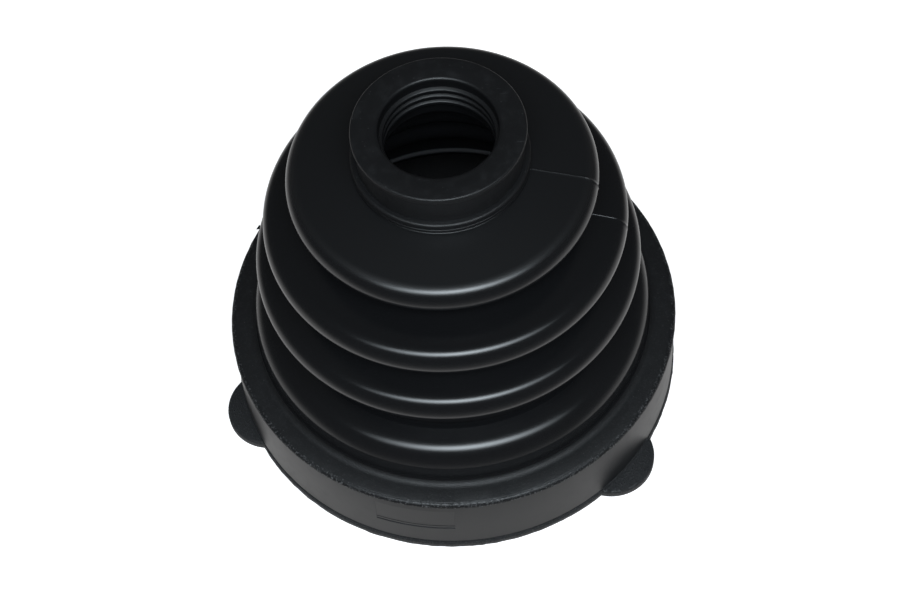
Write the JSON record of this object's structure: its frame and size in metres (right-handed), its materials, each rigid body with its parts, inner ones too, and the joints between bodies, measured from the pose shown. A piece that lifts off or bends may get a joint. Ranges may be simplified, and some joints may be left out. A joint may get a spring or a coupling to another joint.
{
  "type": "rubber bellows boot",
  "caption": "Moulded rubber bellows boot: a stepped cone of rounded folds between a thick clamp collar with pull tabs and a small ribbed shaft collar.",
  "frame": {"origin": "on the boot's axis, in the plane of the large collar's bottom face", "axes": "+Z along the boot's axis from the large collar up to the small one; one pull tab lies at -44 degrees from +X, and the others are 120 degrees apart"},
  "size_m": [0.1038, 0.1043, 0.086],
  "materials": {
    "rubber": "black moulded rubber, satin on the folds and dull on the collars' end faces"
  },
  "bodies": {
    "root": {"bellows_boot": "rubber"}
  },
  "joints": []
}
